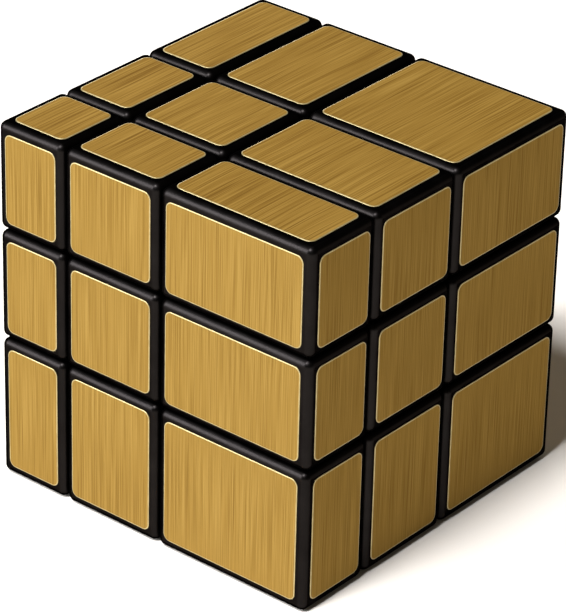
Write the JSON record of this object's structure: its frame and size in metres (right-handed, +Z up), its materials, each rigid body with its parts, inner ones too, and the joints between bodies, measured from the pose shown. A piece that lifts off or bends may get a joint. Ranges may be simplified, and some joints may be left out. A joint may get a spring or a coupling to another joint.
{
  "type": "mirror block cube",
  "caption": "Twisting puzzle cube with layers of unequal thickness, black rounded blocks and brushed gold foil stickers.",
  "frame": {"origin": "centre of the square resting face, on the surface that the cube stands on", "axes": "+Z up through the top layer, -Y out of the front, +X out of the right side"},
  "size_m": [0.057, 0.057, 0.057],
  "materials": {
    "black_plastic": "black moulded ABS, satin with soft highlights along the rounded edges",
    "gold_foil": "metallised plastic film, straight brushed grain, bright cut rim",
    "white_plastic": "plain moulded plastic",
    "steel": "zinc-plated steel"
  },
  "bodies": {
    "core": {"core": "white_plastic", "washers": "steel", "springs": "steel", "screws": "steel"},
    "corner_down_front_left": {"corner_down_front_left": "black_plastic", "foils_down_front_left": "gold_foil"},
    "edge_front_left": {"edge_front_left": "black_plastic", "foils_front_left": "gold_foil"},
    "corner_up_front_left": {"corner_up_front_left": "black_plastic", "foils_up_front_left": "gold_foil"},
    "edge_down_left": {"edge_down_left": "black_plastic", "foils_down_left": "gold_foil"},
    "center_left": {"center_left": "black_plastic", "foil_left": "gold_foil"},
    "edge_up_left": {"edge_up_left": "black_plastic", "foils_up_left": "gold_foil"},
    "corner_down_back_left": {"corner_down_back_left": "black_plastic", "foils_down_back_left": "gold_foil"},
    "edge_back_left": {"edge_back_left": "black_plastic", "foils_back_left": "gold_foil"},
    "corner_up_back_left": {"corner_up_back_left": "black_plastic", "foils_up_back_left": "gold_foil"},
    "edge_down_front": {"edge_down_front": "black_plastic", "foils_down_front": "gold_foil"},
    "center_front": {"center_front": "black_plastic", "foil_front": "gold_foil"},
    "edge_up_front": {"edge_up_front": "black_plastic", "foils_up_front": "gold_foil"},
    "center_down": {"center_down": "black_plastic", "foil_down": "gold_foil"},
    "center_up": {"center_up": "black_plastic", "foil_up": "gold_foil"},
    "edge_down_back": {"edge_down_back": "black_plastic", "foils_down_back": "gold_foil"},
    "center_back": {"center_back": "black_plastic", "foil_back": "gold_foil"},
    "edge_up_back": {"edge_up_back": "black_plastic", "foils_up_back": "gold_foil"},
    "corner_down_front_right": {"corner_down_front_right": "black_plastic", "foils_down_front_right": "gold_foil"},
    "edge_front_right": {"edge_front_right": "black_plastic", "foils_front_right": "gold_foil"},
    "corner_up_front_right": {"corner_up_front_right": "black_plastic", "foils_up_front_right": "gold_foil"},
    "edge_down_right": {"edge_down_right": "black_plastic", "foils_down_right": "gold_foil"},
    "center_right": {"center_right": "black_plastic", "foil_right": "gold_foil"},
    "edge_up_right": {"edge_up_right": "black_plastic", "foils_up_right": "gold_foil"},
    "corner_down_back_right": {"corner_down_back_right": "black_plastic", "foils_down_back_right": "gold_foil"},
    "edge_back_right": {"edge_back_right": "black_plastic", "foils_back_right": "gold_foil"},
    "corner_up_back_right": {"corner_up_back_right": "black_plastic", "foils_up_back_right": "gold_foil"}
  },
  "joints": [
    {"name": "right_face_turn", "type": "hinge", "parent": "core", "child": "center_right", "pos_m": [-0.00725, -0.00625, 0.03125], "axis": [1, 0, 0], "continuous": true},
    {"name": "left_face_turn", "type": "hinge", "parent": "core", "child": "center_left", "pos_m": [-0.00725, -0.00625, 0.03125], "axis": [1, 0, 0], "continuous": true},
    {"name": "back_face_turn", "type": "hinge", "parent": "core", "child": "center_back", "pos_m": [-0.00725, -0.00625, 0.03125], "axis": [0, 1, 0], "continuous": true},
    {"name": "front_face_turn", "type": "hinge", "parent": "core", "child": "center_front", "pos_m": [-0.00725, -0.00625, 0.03125], "axis": [0, 1, 0], "continuous": true},
    {"name": "up_face_turn", "type": "hinge", "parent": "core", "child": "center_up", "pos_m": [-0.00725, -0.00625, 0.03125], "axis": [0, 0, 1], "continuous": true},
    {"name": "down_face_turn", "type": "hinge", "parent": "core", "child": "center_down", "pos_m": [-0.00725, -0.00625, 0.03125], "axis": [0, 0, 1], "continuous": true},
    {"name": "edge_front_left_turn", "type": "hinge", "parent": "center_front", "child": "edge_front_left", "pos_m": [-0.00725, -0.00625, 0.03125], "axis": [1, 0, 0], "continuous": true},
    {"name": "edge_down_left_turn", "type": "hinge", "parent": "center_left", "child": "edge_down_left", "pos_m": [-0.00725, -0.00625, 0.03125], "axis": [0, 0, 1], "continuous": true},
    {"name": "edge_up_left_turn", "type": "hinge", "parent": "center_left", "child": "edge_up_left", "pos_m": [-0.00725, -0.00625, 0.03125], "axis": [0, 0, 1], "continuous": true},
    {"name": "edge_back_left_turn", "type": "hinge", "parent": "center_back", "child": "edge_back_left", "pos_m": [-0.00725, -0.00625, 0.03125], "axis": [1, 0, 0], "continuous": true},
    {"name": "edge_down_front_turn", "type": "hinge", "parent": "center_down", "child": "edge_down_front", "pos_m": [-0.00725, -0.00625, 0.03125], "axis": [0, 1, 0], "continuous": true},
    {"name": "edge_up_front_turn", "type": "hinge", "parent": "center_up", "child": "edge_up_front", "pos_m": [-0.00725, -0.00625, 0.03125], "axis": [0, 1, 0], "continuous": true},
    {"name": "edge_down_back_turn", "type": "hinge", "parent": "center_down", "child": "edge_down_back", "pos_m": [-0.00725, -0.00625, 0.03125], "axis": [0, 1, 0], "continuous": true},
    {"name": "edge_up_back_turn", "type": "hinge", "parent": "center_up", "child": "edge_up_back", "pos_m": [-0.00725, -0.00625, 0.03125], "axis": [0, 1, 0], "continuous": true},
    {"name": "edge_front_right_turn", "type": "hinge", "parent": "center_front", "child": "edge_front_right", "pos_m": [-0.00725, -0.00625, 0.03125], "axis": [1, 0, 0], "continuous": true},
    {"name": "edge_down_right_turn", "type": "hinge", "parent": "center_right", "child": "edge_down_right", "pos_m": [-0.00725, -0.00625, 0.03125], "axis": [0, 0, 1], "continuous": true},
    {"name": "edge_up_right_turn", "type": "hinge", "parent": "center_right", "child": "edge_up_right", "pos_m": [-0.00725, -0.00625, 0.03125], "axis": [0, 0, 1], "continuous": true},
    {"name": "edge_back_right_turn", "type": "hinge", "parent": "center_back", "child": "edge_back_right", "pos_m": [-0.00725, -0.00625, 0.03125], "axis": [1, 0, 0], "continuous": true},
    {"name": "corner_down_front_left_turn", "type": "hinge", "parent": "edge_down_front", "child": "corner_down_front_left", "pos_m": [-0.00725, -0.00625, 0.03125], "axis": [1, 0, 0], "continuous": true},
    {"name": "corner_up_front_left_turn", "type": "hinge", "parent": "edge_up_front", "child": "corner_up_front_left", "pos_m": [-0.00725, -0.00625, 0.03125], "axis": [1, 0, 0], "continuous": true},
    {"name": "corner_down_back_left_turn", "type": "hinge", "parent": "edge_down_back", "child": "corner_down_back_left", "pos_m": [-0.00725, -0.00625, 0.03125], "axis": [1, 0, 0], "continuous": true},
    {"name": "corner_up_back_left_turn", "type": "hinge", "parent": "edge_up_back", "child": "corner_up_back_left", "pos_m": [-0.00725, -0.00625, 0.03125], "axis": [1, 0, 0], "continuous": true},
    {"name": "corner_down_front_right_turn", "type": "hinge", "parent": "edge_down_front", "child": "corner_down_front_right", "pos_m": [-0.00725, -0.00625, 0.03125], "axis": [1, 0, 0], "continuous": true},
    {"name": "corner_up_front_right_turn", "type": "hinge", "parent": "edge_up_front", "child": "corner_up_front_right", "pos_m": [-0.00725, -0.00625, 0.03125], "axis": [1, 0, 0], "continuous": true},
    {"name": "corner_down_back_right_turn", "type": "hinge", "parent": "edge_down_back", "child": "corner_down_back_right", "pos_m": [-0.00725, -0.00625, 0.03125], "axis": [1, 0, 0], "continuous": true},
    {"name": "corner_up_back_right_turn", "type": "hinge", "parent": "edge_up_back", "child": "corner_up_back_right", "pos_m": [-0.00725, -0.00625, 0.03125], "axis": [1, 0, 0], "continuous": true}
  ],
  "couplings": [
    {"joint": "edge_front_left_turn", "follows": "left_face_turn", "ratio": 1},
    {"joint": "edge_down_left_turn", "follows": "down_face_turn", "ratio": 1},
    {"joint": "edge_up_left_turn", "follows": "up_face_turn", "ratio": 1},
    {"joint": "edge_back_left_turn", "follows": "left_face_turn", "ratio": 1},
    {"joint": "edge_down_front_turn", "follows": "front_face_turn", "ratio": 1},
    {"joint": "edge_up_front_turn", "follows": "front_face_turn", "ratio": 1},
    {"joint": "edge_down_back_turn", "follows": "back_face_turn", "ratio": 1},
    {"joint": "edge_up_back_turn", "follows": "back_face_turn", "ratio": 1},
    {"joint": "edge_front_right_turn", "follows": "right_face_turn", "ratio": 1},
    {"joint": "edge_down_right_turn", "follows": "down_face_turn", "ratio": 1},
    {"joint": "edge_up_right_turn", "follows": "up_face_turn", "ratio": 1},
    {"joint": "edge_back_right_turn", "follows": "right_face_turn", "ratio": 1},
    {"joint": "corner_down_front_left_turn", "follows": "left_face_turn", "ratio": 1},
    {"joint": "corner_up_front_left_turn", "follows": "left_face_turn", "ratio": 1},
    {"joint": "corner_down_back_left_turn", "follows": "left_face_turn", "ratio": 1},
    {"joint": "corner_up_back_left_turn", "follows": "left_face_turn", "ratio": 1},
    {"joint": "corner_down_front_right_turn", "follows": "right_face_turn", "ratio": 1},
    {"joint": "corner_up_front_right_turn", "follows": "right_face_turn", "ratio": 1},
    {"joint": "corner_down_back_right_turn", "follows": "right_face_turn", "ratio": 1},
    {"joint": "corner_up_back_right_turn", "follows": "right_face_turn", "ratio": 1}
  ]
}
